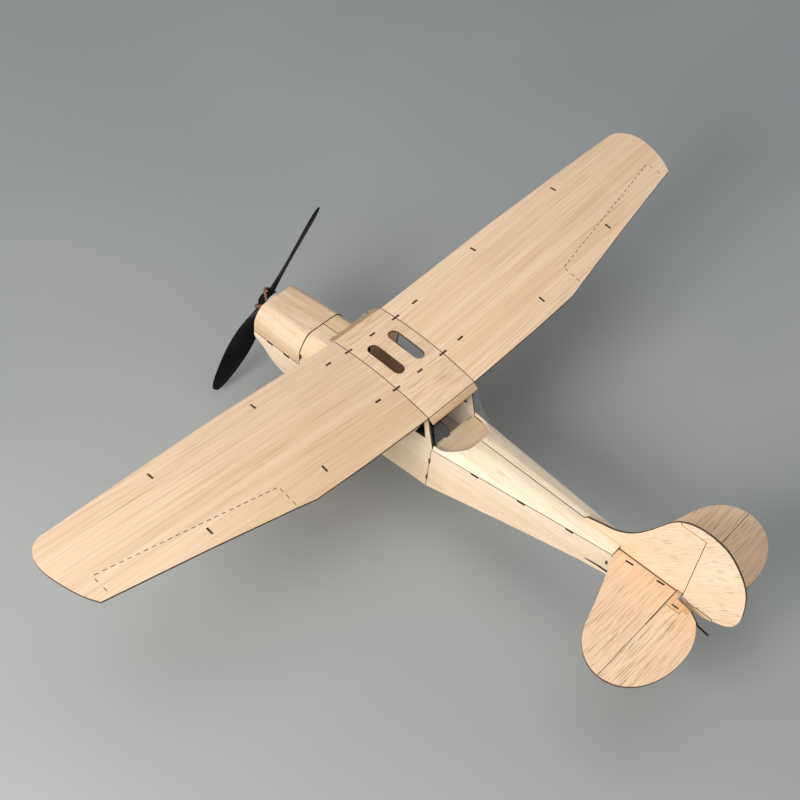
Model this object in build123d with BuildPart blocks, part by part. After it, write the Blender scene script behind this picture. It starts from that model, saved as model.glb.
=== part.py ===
"""Small electric balsa model of a high-wing light aircraft.

Its propeller is held on the shaft by a rubber band. Sizes are in millimetres. +X is port, +Y is aft and +Z
is up. The origin is on the ground, at the middle of the aircraft's box. Stations are measured from the wing
datum, which is on the centre plane, at the front wing joiner and half way up the wing's chord.
"""

import math
import os

from build123d import *

os.makedirs("parts", exist_ok=True)

# Driving dimensions
SHEET = 1.0  # balsa sheet thickness
GAP = 0.1  # clearance between pieces that only touch
DATUM_Y = -61.45
DATUM_Z = 66.0

# Wing
HALF_SPAN = 179.4
CENTER_HALF = 14.8
LEADING_Y = -8.8
TRAILING_Y = 45.7
MIDDLE_Y = (LEADING_Y + TRAILING_Y) / 2
CHORD = 54.6
INCIDENCE = math.radians(3.9)
CAMBER = 2.3
DIHEDRAL = math.radians(6.13)
JOINER_Y = (0.0, 27.5)
JOINER_DEPTH = 3.0
RIB_STATIONS = {"inner": (68.7, -1.9, 38.4), "outer": (123.6, 0.5, 33.1)}  # x, front tab y, rear tab y
TAB = 3.1
TAB_WIDTH = 0.8
SLOT_WIDTH = 1.0

# Fuselage
NOSE_Y = -57.5
COWL_REAR_Y = -28.5
PANEL_Y = -9.3
CABIN_END = 50.0
DECK_END = 136.7
POST_Y = 164.4
HALF_WIDTH = 14.3
TAPER = (HALF_WIDTH - 5.5) / (DECK_END - CABIN_END)
SEAM_FRONT_Z = -28.7  # seam between cowl and side
SEAM_CABIN_Z = -19.6
SEAM_TAIL_Z = -15.0
RIDGE_CABIN_Z = -12.8
RIDGE_TAIL_Z = -13.5
FLOOR_Z = -30.5
FLOOR_HOLE_R = 7.7
BELLY = [
    (-37.3, -41.8), (22.7, -45.7), (49.7, -43.7), (87.1, -36.2), (124.6, -29.6), (POST_Y, -25.5),
]
CHIN = [(NOSE_Y, -31.0), (-54.8, -33.0), (-47.0, -38.0), BELLY[0]]  # curve from the nose down to the belly
CHIN_TANGENTS = [(0.3, -1), (1, -0.12)]

# Tail
TAIL_Z = -16.0
ELEVATOR_Y = 164.6
RUDDER_Y = 167.4
HINGE_GAP = 0.28
HORN_X = 7.0

# Controls: each rod runs straight from its servo arm to its horn
ROD_R = 0.3
ROD_X = 6.0
ROD_SLOPE = 0.07
ROD_REF = (129.5, -26.4)  # y, z where the rods pass through the sides
ARM_R = 6.0
ELEVATOR_SERVO_Y = 20.0
RUDDER_SERVO_Y = 3.5

# Power train
SHAFT_Z = -23.9
SHAFT_R = 0.75
RUNNING = 0.05
MODULE = 0.3
SPUR_TEETH = 44
PINION_TEETH = 12
GEAR_Y = (-60.2, -58.6)
GEAR_CENTRES = MODULE * (SPUR_TEETH + PINION_TEETH) / 2
MOTOR_R = 3.5
MOTOR_X = -GEAR_CENTRES
PROP_R = 49.4
PROP_LEAN = 41.0  # degrees from upright, towards starboard
PROP_Y = -64.5

# Landing gear
AXLE = (38.0, -14.0, -54.5)
WHEEL_R = 11.5
WHEEL_WIDTH = 4.0
WIRE_R = 0.5

# Half sections of the bent top sheets, from the port edge up to the ridge
COWL_FRONT_ARCH = [(HALF_WIDTH, SEAM_FRONT_Z), (13.9, -21.8), (10.9, -17.0), (0, -15.6)]
COWL_REAR_ARCH = [(HALF_WIDTH, SEAM_FRONT_Z), (14.0, -19.4), (10.8, -13.8), (0, -12.2)]
DECK_FRONT_ARCH = [(HALF_WIDTH, -25.8), (13.7, -19.0), (10.3, -14.0), (0, -12.4)]
DECK_REAR_ARCH = [(HALF_WIDTH, -15.5), (13.4, -13.2), (8.5, -12.0), (0, -11.5)]

pieces = {}


def side_view(x):
    """Plane for a side outline, drawn as (y, z) from the datum and raised towards port."""
    return Plane(origin=(x, DATUM_Y, DATUM_Z), x_dir=(0, 1, 0), z_dir=(1, 0, 0))


def plan_view(z):
    """Plane for a plan outline, drawn as (x, y) from the datum and raised upwards."""
    return Plane(origin=(0, DATUM_Y, DATUM_Z + z), x_dir=(1, 0, 0), z_dir=(0, 0, 1))


def front_view(y):
    """Plane for a cross section, drawn as (x, z) from the datum and raised forwards."""
    return Plane(origin=(0, DATUM_Y + y, DATUM_Z), x_dir=(1, 0, 0), z_dir=(0, -1, 0))


def at(x, y, z):
    """Point in the aircraft's own frame for a station measured from the datum."""
    return (x, DATUM_Y + y, DATUM_Z + z)


def between(value, low, high, start, end):
    """Straight-line value between start and end as value goes from low to high."""
    return start + (end - start) * (value - low) / (high - low)


def half_width(y):
    """Half width of the fuselage over its side sheets."""
    return HALF_WIDTH - TAPER * max(0.0, y - CABIN_END)


def seam_z(y):
    """Height of the seam between a side and the turtledeck."""
    return between(y, CABIN_END, DECK_END, SEAM_CABIN_Z, SEAM_TAIL_Z)


def ridge_z(y):
    """Height of the turtledeck on the centre plane."""
    return between(y, CABIN_END, DECK_END, RIDGE_CABIN_Z, RIDGE_TAIL_Z)


def belly_z(y):
    """Height of the fuselage's lowest line behind the nose's curve."""
    for (y0, z0), (y1, z1) in zip(BELLY, BELLY[1:]):
        if y <= y1:
            return between(y, y0, y1, z0, z1)
    return BELLY[-1][1]


def camber_z(y):
    """Height of the wing's upper surface, an arc with the chord's incidence and camber."""
    radius = CHORD**2 / (8 * CAMBER) + CAMBER / 2
    centre_y = MIDDLE_Y - (radius - CAMBER) * math.sin(INCIDENCE)
    centre_z = -(radius - CAMBER) * math.cos(INCIDENCE)
    return centre_z + math.sqrt(radius**2 - (y - centre_y) ** 2)


def chord_z(y):
    """Height of the wing's chord line."""
    return -(y - MIDDLE_Y) * math.tan(INCIDENCE)


def camber_arc(y0, y1, drop):
    """Arc that follows the wing's upper surface, a given drop below it."""
    middle = (y0 + y1) / 2
    points = [(y, camber_z(y) - drop) for y in (y0, middle, y1)]
    return ThreePointArc(*points)


def rod_z(y):
    """Height of both control rods."""
    return ROD_REF[1] + ROD_SLOPE * (y - ROD_REF[0])


# ---------------------------------------------------------------- fuselage

SIDE_TABS_TOP = [(-47.3, SEAM_FRONT_Z), (-36.7, SEAM_FRONT_Z)]
SEAM_TABS_Y = (71.3, 94.1, 117.1)
POST_TABS_Z = (-27.1, -37.9)
SEAM_TAB = 3.6
ROOF_FRONT_Y = -6.0
ROOF_REAR_Y = 45.0

with BuildPart() as fuselage_side_left:
    with BuildSketch(plan_view(-50)):
        with BuildLine():
            Polyline(
                (HALF_WIDTH, NOSE_Y),
                (HALF_WIDTH, CABIN_END),
                (half_width(POST_Y), POST_Y),
                (half_width(POST_Y) - SHEET, POST_Y),
                (HALF_WIDTH - SHEET, CABIN_END),
                (HALF_WIDTH - SHEET, NOSE_Y),
                close=True,
            )
        make_face()
    extrude(amount=60)
    with BuildSketch(side_view(0)):
        with BuildLine():
            Spline(*CHIN, tangents=CHIN_TANGENTS)
            Polyline(*BELLY)
            Polyline(
                BELLY[-1],
                (POST_Y, TAIL_Z - SHEET / 2),
                (DECK_END, TAIL_Z - SHEET / 2),
                (DECK_END, SEAM_TAIL_Z),
                (CABIN_END, SEAM_CABIN_Z),
                (ROOF_REAR_Y, camber_z(ROOF_REAR_Y) - SHEET),
            )
            camber_arc(ROOF_REAR_Y, ROOF_FRONT_Y, SHEET)
            Polyline(
                (ROOF_FRONT_Y, camber_z(ROOF_FRONT_Y) - SHEET),
                (PANEL_Y + GAP, DECK_REAR_ARCH[0][1] + 3.5),
                (PANEL_Y + GAP, DECK_REAR_ARCH[0][1]),
                (COWL_REAR_Y + GAP, DECK_FRONT_ARCH[0][1]),
                (COWL_REAR_Y + GAP, SEAM_FRONT_Z),
                (NOSE_Y, SEAM_FRONT_Z),
                (NOSE_Y, -31.0),
            )
        make_face()
    extrude(amount=20, mode=Mode.INTERSECT)
    # cabin window, quarter window, joiner notches and tab slots
    with BuildSketch(side_view(0)):
        with BuildLine():
            Polyline((2.5, -14.9), (3.5, -3.6), (38.5, -4.6), (35.5, -15.2), close=True)
        make_face()
        with BuildLine():
            Polyline((39.6, -16.0), (43.6, -6.4), (45.4, -15.2), close=True)
        make_face()
        for joiner_y in JOINER_Y:
            with Locations((joiner_y, camber_z(joiner_y) - SHEET - JOINER_DEPTH / 2)):
                Rectangle(SHEET + GAP, JOINER_DEPTH + 2 * GAP)
        for tab_y, tab_z in SIDE_TABS_TOP + [(y, seam_z(y)) for y in SEAM_TABS_Y]:
            with Locations((tab_y, tab_z - SHEET / 2)):
                Rectangle(SEAM_TAB + GAP, SHEET + 2 * GAP)
        for tab_z in POST_TABS_Z:
            with Locations((CABIN_END - 0.6, tab_z)):
                Rectangle(SHEET + GAP, TAB + GAP)
        with Locations((DECK_END - 1.1, -21.4)):
            Rectangle(SHEET + GAP, 2.4)
        with Locations((-14.0, belly_z(-14.0) + SHEET + WIRE_R)):
            Circle(WIRE_R + RUNNING)
    extrude(amount=20, mode=Mode.SUBTRACT)
    # oblique tunnel where the rod leaves the fuselage
    with BuildSketch(Plane(origin=at(ROD_X, 100, rod_z(100)), z_dir=(0, 1, ROD_SLOPE))):
        Circle(ROD_R + 0.25)
    extrude(amount=50, mode=Mode.SUBTRACT)
pieces["fuselage_side_left"] = fuselage_side_left


def band(y, outer, port_only=False):
    """Section of a bent sheet at station y, where outer lists (x, z) from the port edge up to the ridge."""
    (edge_x, edge_z), (_, top_z) = outer[0], outer[-1]
    shrink_x = 1 - SHEET / edge_x
    shrink_z = 1 - SHEET / (top_z - edge_z)
    inner = [(x * shrink_x, edge_z + (z - edge_z) * shrink_z) for x, z in outer]
    with BuildSketch(front_view(y)) as section:
        with BuildLine():
            for points in (outer, inner):
                half = Spline(*points, tangents=[(0, 1), (-1, 0)])
                if not port_only:
                    mirror(half, about=Plane.YZ)
            Line(outer[0], inner[0])
            if port_only:
                Line(outer[-1], inner[-1])
            else:
                Line((-edge_x, edge_z), (-inner[0][0], edge_z))
        make_face()
    return section.sketch


def inside_arch(outer, drop):
    """Outline of a former under a bent sheet, closed down to its edge."""
    (edge_x, edge_z), (_, top_z) = outer[0], outer[-1]
    shrink_x = 1 - drop / edge_x
    shrink_z = 1 - drop / (top_z - edge_z)
    half = Spline(
        *[(x * shrink_x, edge_z + (z - edge_z) * shrink_z) for x, z in outer], tangents=[(0, 1), (-1, 0)]
    )
    mirror(half, about=Plane.YZ)
    return half


with BuildPart() as cowl_sheet:
    add(band(NOSE_Y, COWL_FRONT_ARCH))
    add(band(COWL_REAR_Y, COWL_REAR_ARCH))
    loft(ruled=True)
pieces["cowl_sheet"] = cowl_sheet

COWL_TAB_Z = -23.3
with BuildPart() as windscreen_deck_left:
    add(band(COWL_REAR_Y + GAP, DECK_FRONT_ARCH, port_only=True))
    add(band(PANEL_Y, DECK_REAR_ARCH, port_only=True))
    loft(ruled=True)
    with BuildSketch(side_view(10)):
        with Locations((COWL_REAR_Y + 0.7, COWL_TAB_Z)):
            Rectangle(SHEET + GAP, TAB + GAP)
    extrude(amount=10, mode=Mode.SUBTRACT)
    with Locations(at(0, (COWL_REAR_Y + PANEL_Y) / 2, -20)):
        Box(GAP, 40, 40, mode=Mode.SUBTRACT)
pieces["windscreen_deck_left"] = windscreen_deck_left


def turtledeck_arch(y):
    """Half section of the turtledeck at station y."""
    width, low, rise = half_width(y), seam_z(y), ridge_z(y) - seam_z(y)
    shoulder = (0.84 * width, low + 0.52 * rise)
    return [(width, low), shoulder, (0.46 * width, low + 0.88 * rise), (0, low + rise)]


with BuildPart() as turtledeck_left:
    add(band(CABIN_END, turtledeck_arch(CABIN_END), port_only=True))
    add(band(DECK_END, turtledeck_arch(DECK_END), port_only=True))
    loft(ruled=True)
    # U-shaped front edge
    with BuildSketch(plan_view(-25)):
        with BuildLine():
            Spline((13.5, CABIN_END + 0.3), (12.5, 56.0), (8.5, 61.3), (0, 63.8), tangents=[(0, 1), (-1, 0)])
            Polyline((0, 63.8), (0, 45), (13.5, 45), (13.5, CABIN_END + 0.3))
        make_face()
    extrude(amount=20, mode=Mode.SUBTRACT)
    with Locations(at(0, 95, -15)):
        Box(GAP, 100, 10, mode=Mode.SUBTRACT)
pieces["turtledeck_left"] = turtledeck_left

INNER_HALF = HALF_WIDTH - SHEET - GAP / 2
with BuildPart() as rear_shelf:
    with BuildSketch(plan_view(SEAM_CABIN_Z - SHEET - GAP)):
        with BuildLine():
            Polyline(
                (INNER_HALF, CABIN_END - 1.2),
                (INNER_HALF, CABIN_END),
                (half_width(66) - SHEET - GAP, 66),
                (-half_width(66) + SHEET + GAP, 66),
                (-INNER_HALF, CABIN_END),
                (-INNER_HALF, CABIN_END - 1.2),
                close=True,
            )
        make_face()
        # the front edge is notched between its tabs
        with Locations((-10.6, CABIN_END - 1.0), (3.2, CABIN_END - 1.0), (11.6, CABIN_END - 1.0)):
            Rectangle(3.0, 1.2, mode=Mode.SUBTRACT)
    extrude(amount=SHEET)
pieces["rear_shelf"] = rear_shelf

FLOOR_FRONT_Y = PANEL_Y + SHEET + GAP
with BuildPart() as cabin_floor:
    with BuildSketch(plan_view(FLOOR_Z - SHEET)):
        with Locations((0, (FLOOR_FRONT_Y + CABIN_END - 1.2) / 2)):
            Rectangle(2 * INNER_HALF, CABIN_END - 1.2 - FLOOR_FRONT_Y)
        with Locations((-1, 38)):
            Circle(FLOOR_HOLE_R, mode=Mode.SUBTRACT)
    extrude(amount=SHEET)
pieces["cabin_floor"] = cabin_floor

with BuildPart() as nose_former:
    with BuildSketch(front_view(NOSE_Y + 2)):
        with BuildLine():
            inside_arch(COWL_FRONT_ARCH, SHEET + GAP)
            Polyline(
                (INNER_HALF - GAP / 2, SEAM_FRONT_Z),
                (INNER_HALF - GAP / 2, FLOOR_Z),
                (-INNER_HALF + GAP / 2, FLOOR_Z),
                (-INNER_HALF + GAP / 2, SEAM_FRONT_Z),
            )
        make_face()
        with Locations((0, SHAFT_Z)):
            Circle(2.1, mode=Mode.SUBTRACT)
        with Locations((MOTOR_X, SHAFT_Z)):
            Circle(MOTOR_R + 0.9, mode=Mode.SUBTRACT)
    extrude(amount=1.5)
pieces["nose_former"] = nose_former

with BuildPart() as cowl_former:
    with BuildSketch(front_view(COWL_REAR_Y + 1.2)):
        with BuildLine():
            inside_arch(DECK_FRONT_ARCH, SHEET + 2 * GAP)
            Polyline(
                (HALF_WIDTH - SHEET - 2 * GAP, DECK_FRONT_ARCH[0][1]),
                (HALF_WIDTH - SHEET - 2 * GAP, -41.0),
                (-HALF_WIDTH + SHEET + 2 * GAP, -41.0),
                (-HALF_WIDTH + SHEET + 2 * GAP, DECK_FRONT_ARCH[0][1]),
            )
        make_face()
        with Locations((0, -28)):
            Circle(9, mode=Mode.SUBTRACT)
        with Locations((13, COWL_TAB_Z), (-13, COWL_TAB_Z)):
            Rectangle(2.0, TAB)
    extrude(amount=SHEET - 2 * GAP)
pieces["cowl_former"] = cowl_former


def cross_former(y, top_z, opening, tabs=()):
    """Plate across the fuselage at station y, with an opening (width, low z, high z) and tabs at both sides."""
    half = half_width(y) - SHEET - GAP
    low_z = belly_z(y) + SHEET + 2 * GAP
    width, low, high = opening
    with BuildPart() as former:
        with BuildSketch(front_view(y)):
            with Locations((0, (low_z + top_z) / 2)):
                Rectangle(2 * half, top_z - low_z)
            with Locations((0, (low + high) / 2)):
                RectangleRounded(width, high - low, 1.5, mode=Mode.SUBTRACT)
            for tab_z, tab_height in tabs:
                with Locations((0, tab_z)):
                    Rectangle(2 * (half + SHEET), tab_height)
                    Rectangle(2 * half - 2, tab_height, mode=Mode.SUBTRACT)
        extrude(amount=SHEET)
    return former


with BuildPart() as instrument_panel:
    with BuildSketch(front_view(PANEL_Y + SHEET)):
        with Locations((0, (DECK_REAR_ARCH[0][1] - GAP + belly_z(PANEL_Y) + SHEET + GAP) / 2)):
            Rectangle(2 * INNER_HALF, DECK_REAR_ARCH[0][1] - 2 * GAP - belly_z(PANEL_Y) - SHEET)
        with Locations((0, -21), (0, -37)):
            RectangleRounded(20, 5, 1.5, mode=Mode.SUBTRACT)
    extrude(amount=SHEET)
pieces["instrument_panel"] = instrument_panel

pieces["cabin_rear_former"] = cross_former(
    CABIN_END - GAP, SEAM_CABIN_Z - SHEET - 2 * GAP, (21, -36, -24.5), [(z, TAB) for z in POST_TABS_Z]
)
pieces["tail_former"] = cross_former(92.0, seam_z(91) - GAP, (14.2, -32, -21))
pieces["tail_end_former"] = cross_former(DECK_END - 0.6, TAIL_Z - SHEET, (5, -26.6, -22.9), [(-21.4, 2.2)])

with BuildPart() as tail_post:
    with BuildSketch(plan_view(belly_z(POST_Y) + SHEET)):
        with BuildLine():
            front, rear = half_width(POST_Y - 4) - SHEET - GAP, half_width(POST_Y) - SHEET - GAP
            Polyline((front, POST_Y - 4), (rear, POST_Y), (-rear, POST_Y), (-front, POST_Y - 4), close=True)
        make_face()
    extrude(amount=TAIL_Z - SHEET / 2 - belly_z(POST_Y) - SHEET - GAP)
pieces["tail_post"] = tail_post


def belly_outline(y0, y1, inset):
    """Plan outline between the side sheets from y0 to y1."""
    stations = [y for y in (y0, CABIN_END, y1) if y0 <= y <= y1]
    port = [(half_width(y) - SHEET - inset, y) for y in stations]
    Polyline(*port, *[(-x, y) for x, y in reversed(port)], close=True)


HATCH = (16.0, 25.0, 46.0)  # width, front, rear
with BuildPart() as belly_front:
    with BuildSketch(side_view(-20)):
        with BuildLine():
            Spline(*CHIN, tangents=CHIN_TANGENTS)
            Polyline(*BELLY[:3], *[(y, z + SHEET) for y, z in BELLY[2::-1]])
            Spline(
                (BELLY[0][0], BELLY[0][1] + SHEET), (-46.6, -37.1), (-54.1, -32.3), (NOSE_Y + SHEET, -31.0),
                tangents=[(-1, 0.12), (-0.3, 1)],
            )
            Line((NOSE_Y + SHEET, -31.0), (NOSE_Y, -31.0))
        make_face()
    extrude(amount=40)
    with BuildSketch(plan_view(-50)):
        with BuildLine():
            belly_outline(NOSE_Y, BELLY[2][0], GAP / 2)
        make_face()
        with Locations((0, (HATCH[1] + HATCH[2]) / 2)):
            Rectangle(HATCH[0], HATCH[2] - HATCH[1], mode=Mode.SUBTRACT)
    extrude(amount=30, mode=Mode.INTERSECT)
pieces["belly_front"] = belly_front

with BuildPart() as battery_hatch:
    with BuildSketch(side_view(-20)):
        with BuildLine():
            Polyline(*BELLY[1:3], *[(y, z + SHEET) for y, z in BELLY[2:0:-1]], close=True)
        make_face()
    extrude(amount=40)
    with BuildSketch(plan_view(-50)):
        with Locations((0, (HATCH[1] + HATCH[2]) / 2)):
            Rectangle(HATCH[0] - 2 * GAP, HATCH[2] - HATCH[1] - 2 * GAP)
    extrude(amount=30, mode=Mode.INTERSECT)
pieces["battery_hatch"] = battery_hatch

with BuildPart() as belly_tail:
    with BuildSketch(side_view(-20)):
        with BuildLine():
            Polyline(*BELLY[2:], *[(y, z + SHEET) for y, z in reversed(BELLY[2:])], close=True)
        make_face()
    extrude(amount=40)
    with BuildSketch(plan_view(-50)):
        with BuildLine():
            belly_outline(BELLY[2][0] + GAP, POST_Y, GAP / 2)
        make_face()
    extrude(amount=30, mode=Mode.INTERSECT)
pieces["belly_tail"] = belly_tail

FILM = 0.35


def film_band(plane, half, rise):
    """Curved strip one film thick on a plane, from (half, 0) through (0, rise) to (-half, 0)."""
    with BuildSketch(plane) as strip:
        with BuildLine():
            ThreePointArc((half, 0), (0, rise), (-half, 0))
            Line((-half, 0), (-half + FILM, 0))
            ThreePointArc((-half + FILM, 0), (0, rise - FILM), (half - FILM, 0))
            Line((half - FILM, 0), (half, 0))
        make_face()
    return strip.sketch


with BuildPart() as windscreen:
    base = Plane(origin=at(0, PANEL_Y - 0.5, -13.0), x_dir=(-1, 0, 0), z_dir=(0, 0.12, 1))
    top = Plane(origin=at(0, LEADING_Y + 1.6, 0.1), x_dir=(-1, 0, 0), z_dir=(0, 0.12, 1))
    add(film_band(base, INNER_HALF - 0.4, 10.6))
    add(film_band(top, INNER_HALF - 0.4, 1.0))
    loft(ruled=True)
pieces["windscreen"] = windscreen

with BuildPart() as rear_window:
    base = Plane(origin=at(0, 52.2, -18.6), x_dir=(1, 0, 0), z_dir=(0, -6.9, 15))
    top = Plane(origin=at(0, TRAILING_Y + 3.2, -4.7), x_dir=(1, 0, 0), z_dir=(0, -6.9, 15))
    add(film_band(base, HALF_WIDTH + 0.5, 16.4))
    add(film_band(top, HALF_WIDTH + 0.3, 1.0))
    loft(ruled=True)
pieces["rear_window"] = rear_window


# ---------------------------------------------------------------- wing

SKYLIGHT = (5.7, 3.9, 23.5)  # width, front, rear
SKYLIGHT_X = 6.3
OUTER_SLOT_X = {0.0: 27.1, 27.5: 26.1}  # each joiner's slot beyond the seam, by its station
STRIP = 3.2


def spar_slots(y, tab, width, xs):
    """Rectangles for the joiners' tabs, each as long across the wing as tab."""
    with Locations(*[(x, y) for x in xs]):
        Rectangle(tab, width)


with BuildPart() as wing_center_sheet:
    with BuildSketch(side_view(-CENTER_HALF + GAP / 2)):
        with BuildLine():
            camber_arc(LEADING_Y, TRAILING_Y, 0)
            Line((TRAILING_Y, camber_z(TRAILING_Y)), (TRAILING_Y, camber_z(TRAILING_Y) - SHEET))
            camber_arc(TRAILING_Y, LEADING_Y, SHEET)
            Line((LEADING_Y, camber_z(LEADING_Y) - SHEET), (LEADING_Y, camber_z(LEADING_Y)))
        make_face()
    extrude(amount=2 * CENTER_HALF - GAP)
    with BuildSketch(plan_view(-10)):
        for x in (SKYLIGHT_X, -SKYLIGHT_X):
            with Locations((x, (SKYLIGHT[1] + SKYLIGHT[2]) / 2)):
                SlotOverall(SKYLIGHT[2] - SKYLIGHT[1], SKYLIGHT[0], rotation=90)
        for y in JOINER_Y:
            spar_slots(y, TAB + GAP, SLOT_WIDTH, [0])
            spar_slots(y, 4.4, SLOT_WIDTH, [-CENTER_HALF, CENTER_HALF])
    extrude(amount=20, mode=Mode.SUBTRACT)
pieces["wing_center_sheet"] = wing_center_sheet


def edge_strip(y, direction):
    """Side outline of a strip that slopes down from the centre sheet's edge at y, away from the wing."""
    z = camber_z(y)
    out = direction * STRIP * math.cos(math.radians(35))
    down = STRIP * math.sin(math.radians(35))
    start = y + direction * GAP / 2
    end = start + out
    Polyline((start, z), (end, z - down), (end, z - down - 0.8), (start, z - SHEET), close=True)


for strip_name, strip_y, strip_direction in (
    ("center_leading_strip", LEADING_Y, -1),
    ("center_trailing_strip", TRAILING_Y, 1),
):
    with BuildPart() as strip:
        with BuildSketch(side_view(-CENTER_HALF + 0.6)):
            with BuildLine():
                edge_strip(strip_y, strip_direction)
            make_face()
        extrude(amount=2 * CENTER_HALF - 1.2)
    pieces[strip_name] = strip


def panel_surface(x):
    """Plane along the port panel at x, drawn as (spanwise distance from x, y)."""
    rise = (x - CENTER_HALF) * math.tan(DIHEDRAL)
    return Plane(
        origin=at(x, 0, rise), x_dir=(math.cos(DIHEDRAL), 0, math.sin(DIHEDRAL)),
        z_dir=(-math.sin(DIHEDRAL), 0, math.cos(DIHEDRAL)),
    )


def panel_plane(x):
    """Plane square to the port panel's span at x, drawn as (y, height over the panel's datum)."""
    rise = (x - CENTER_HALF) * math.tan(DIHEDRAL)
    return Plane(origin=at(x, 0, rise), x_dir=(0, 1, 0), z_dir=(math.cos(DIHEDRAL), 0, math.sin(DIHEDRAL)))


AILERON = [(89.6, 44.4), (89.6, 34.0), (168.1, 22.4), (168.0, 31.6)]
DASH = 1.9
DASH_PITCH = 3.2
DASH_WIDTH = 0.3
TIP_OUTLINE = [
    (169.0, -2.8), (175.3, -0.6), (178.4, 4.0), (HALF_SPAN, 10.5), (178.4, 17.4), (176.0, 25.6), (172.3, 32.2),
]

with BuildPart() as wing_panel_left:
    with BuildSketch(panel_plane(CENTER_HALF - 2)):
        with BuildLine():
            camber_arc(-12, 50, 0)
            Line((50, camber_z(50)), (50, camber_z(50) - SHEET))
            camber_arc(50, -12, SHEET)
            Line((-12, camber_z(-12) - SHEET), (-12, camber_z(-12)))
        make_face()
    extrude(amount=HALF_SPAN)
    with BuildSketch(plan_view(-20)):
        with BuildLine():
            Polyline((CENTER_HALF + GAP / 2, -8.6), (45.0, -7.9), (82.4, -7.2), (131.8, -4.9), TIP_OUTLINE[0])
            Spline(*TIP_OUTLINE)
            Polyline(TIP_OUTLINE[-1], (128.7, 38.6), (89.6, 44.8), (81.0, 46.3), (53.5, 46.4))
            Polyline((53.5, 46.4), (CENTER_HALF + GAP / 2, TRAILING_Y), (CENTER_HALF + GAP / 2, -8.6))
        make_face()
    extrude(amount=60, mode=Mode.INTERSECT)
    for x, front_y, rear_y in RIB_STATIONS.values():
        with BuildSketch(panel_surface(x)):
            with Locations((0, front_y), (0, rear_y)):
                Rectangle(SLOT_WIDTH, TAB + GAP)
        extrude(amount=5, both=True, mode=Mode.SUBTRACT)
    with BuildSketch(plan_view(-20)):
        for y in JOINER_Y:
            spar_slots(y, 4.4, SLOT_WIDTH, [CENTER_HALF])
            spar_slots(y, TAB + GAP, SLOT_WIDTH, [OUTER_SLOT_X[y]])
        # the aileron is only outlined, by a row of short slits
        for (x0, y0), (x1, y1) in zip(AILERON, AILERON[1:]):
            length = math.hypot(x1 - x0, y1 - y0)
            count = int(length / DASH_PITCH)
            for i in range(count):
                share = (i + 0.5) / count
                with Locations((x0 + (x1 - x0) * share, y0 + (y1 - y0) * share)):
                    Rectangle(DASH, DASH_WIDTH, rotation=math.degrees(math.atan2(y1 - y0, x1 - x0)))
    extrude(amount=60, mode=Mode.SUBTRACT)
pieces["wing_panel_left"] = wing_panel_left

RIB_DEPTH = 2.6
with BuildPart() as wing_ribs_left:
    for station, (x, front_y, rear_y) in RIB_STATIONS.items():
        y0, y1 = front_y - 3.5, rear_y + 3.5
        drop = SHEET + 0.03
        with BuildSketch(panel_plane(x - TAB_WIDTH / 2)):
            with BuildLine():
                camber_arc(y0, y1, drop)
                Polyline(
                    (y1, camber_z(y1) - drop),
                    (y1 - 2, chord_z(y1) - RIB_DEPTH),
                    (y0 + 2, chord_z(y0) - RIB_DEPTH),
                    (y0, camber_z(y0) - drop),
                )
            make_face()
            for tab_y in (front_y, rear_y):
                with Locations((tab_y, camber_z(tab_y) - 0.75)):
                    Rectangle(TAB, 0.9)
        extrude(amount=TAB_WIDTH)
pieces["wing_ribs_left"] = wing_ribs_left


def wing_joiner(y):
    """Spanwise plate bent up at the seams, with tabs through the sheets, at station y."""
    top = camber_z(y) - SHEET - 0.05
    tip_x = OUTER_SLOT_X[y] + 2.6
    tip_rise = (tip_x - CENTER_HALF) * math.tan(DIHEDRAL)
    with BuildPart() as joiner:
        with BuildSketch(front_view(y + TAB_WIDTH / 2)):
            for sign in (1, -1):
                with BuildLine():
                    Polyline(
                        (0, top),
                        (sign * CENTER_HALF, top),
                        (sign * tip_x, top + tip_rise),
                        (sign * tip_x, top + tip_rise - JOINER_DEPTH + 1.2),
                        (sign * CENTER_HALF, top - JOINER_DEPTH + GAP),
                        (0, top - JOINER_DEPTH + GAP),
                        close=True,
                    )
                make_face()
                with Locations((sign * CENTER_HALF, top + 0.35)):
                    Rectangle(4.2, 0.9)
                slot_x = OUTER_SLOT_X[y]
                with Locations((sign * slot_x, top + 0.3 + (slot_x - CENTER_HALF) * math.tan(DIHEDRAL))):
                    Rectangle(TAB - GAP, 0.9, rotation=sign * math.degrees(DIHEDRAL))
            with Locations((0, top + 0.35)):
                Rectangle(TAB - GAP, 0.9)
        extrude(amount=TAB_WIDTH)
    return joiner


pieces["wing_joiner_front"] = wing_joiner(JOINER_Y[0])
pieces["wing_joiner_rear"] = wing_joiner(JOINER_Y[1])

# ---------------------------------------------------------------- tail

STAB_FRONT_Y = DECK_END + GAP
ELEVATOR_INNER = [(3.6, 167.3), (4.3, 173.3), (7.0, 177.8)]


def tail_half_outline():
    """Port half of the whole horizontal tail, from the root's front round to the elevator's inner edge."""
    Line((0, STAB_FRONT_Y), (4.9, STAB_FRONT_Y))
    Spline(
        (4.9, STAB_FRONT_Y), (14.1, 140.2), (30.3, 145.6), (45.4, 151.6), (52.6, 162.0), (51.1, 172.0),
        (45.6, 178.2), (29.9, 183.7), (16.5, 182.8), (7.0, 177.8),
    )
    Polyline(*reversed(ELEVATOR_INNER), (0, ELEVATOR_INNER[0][1]), (0, STAB_FRONT_Y))


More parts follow.
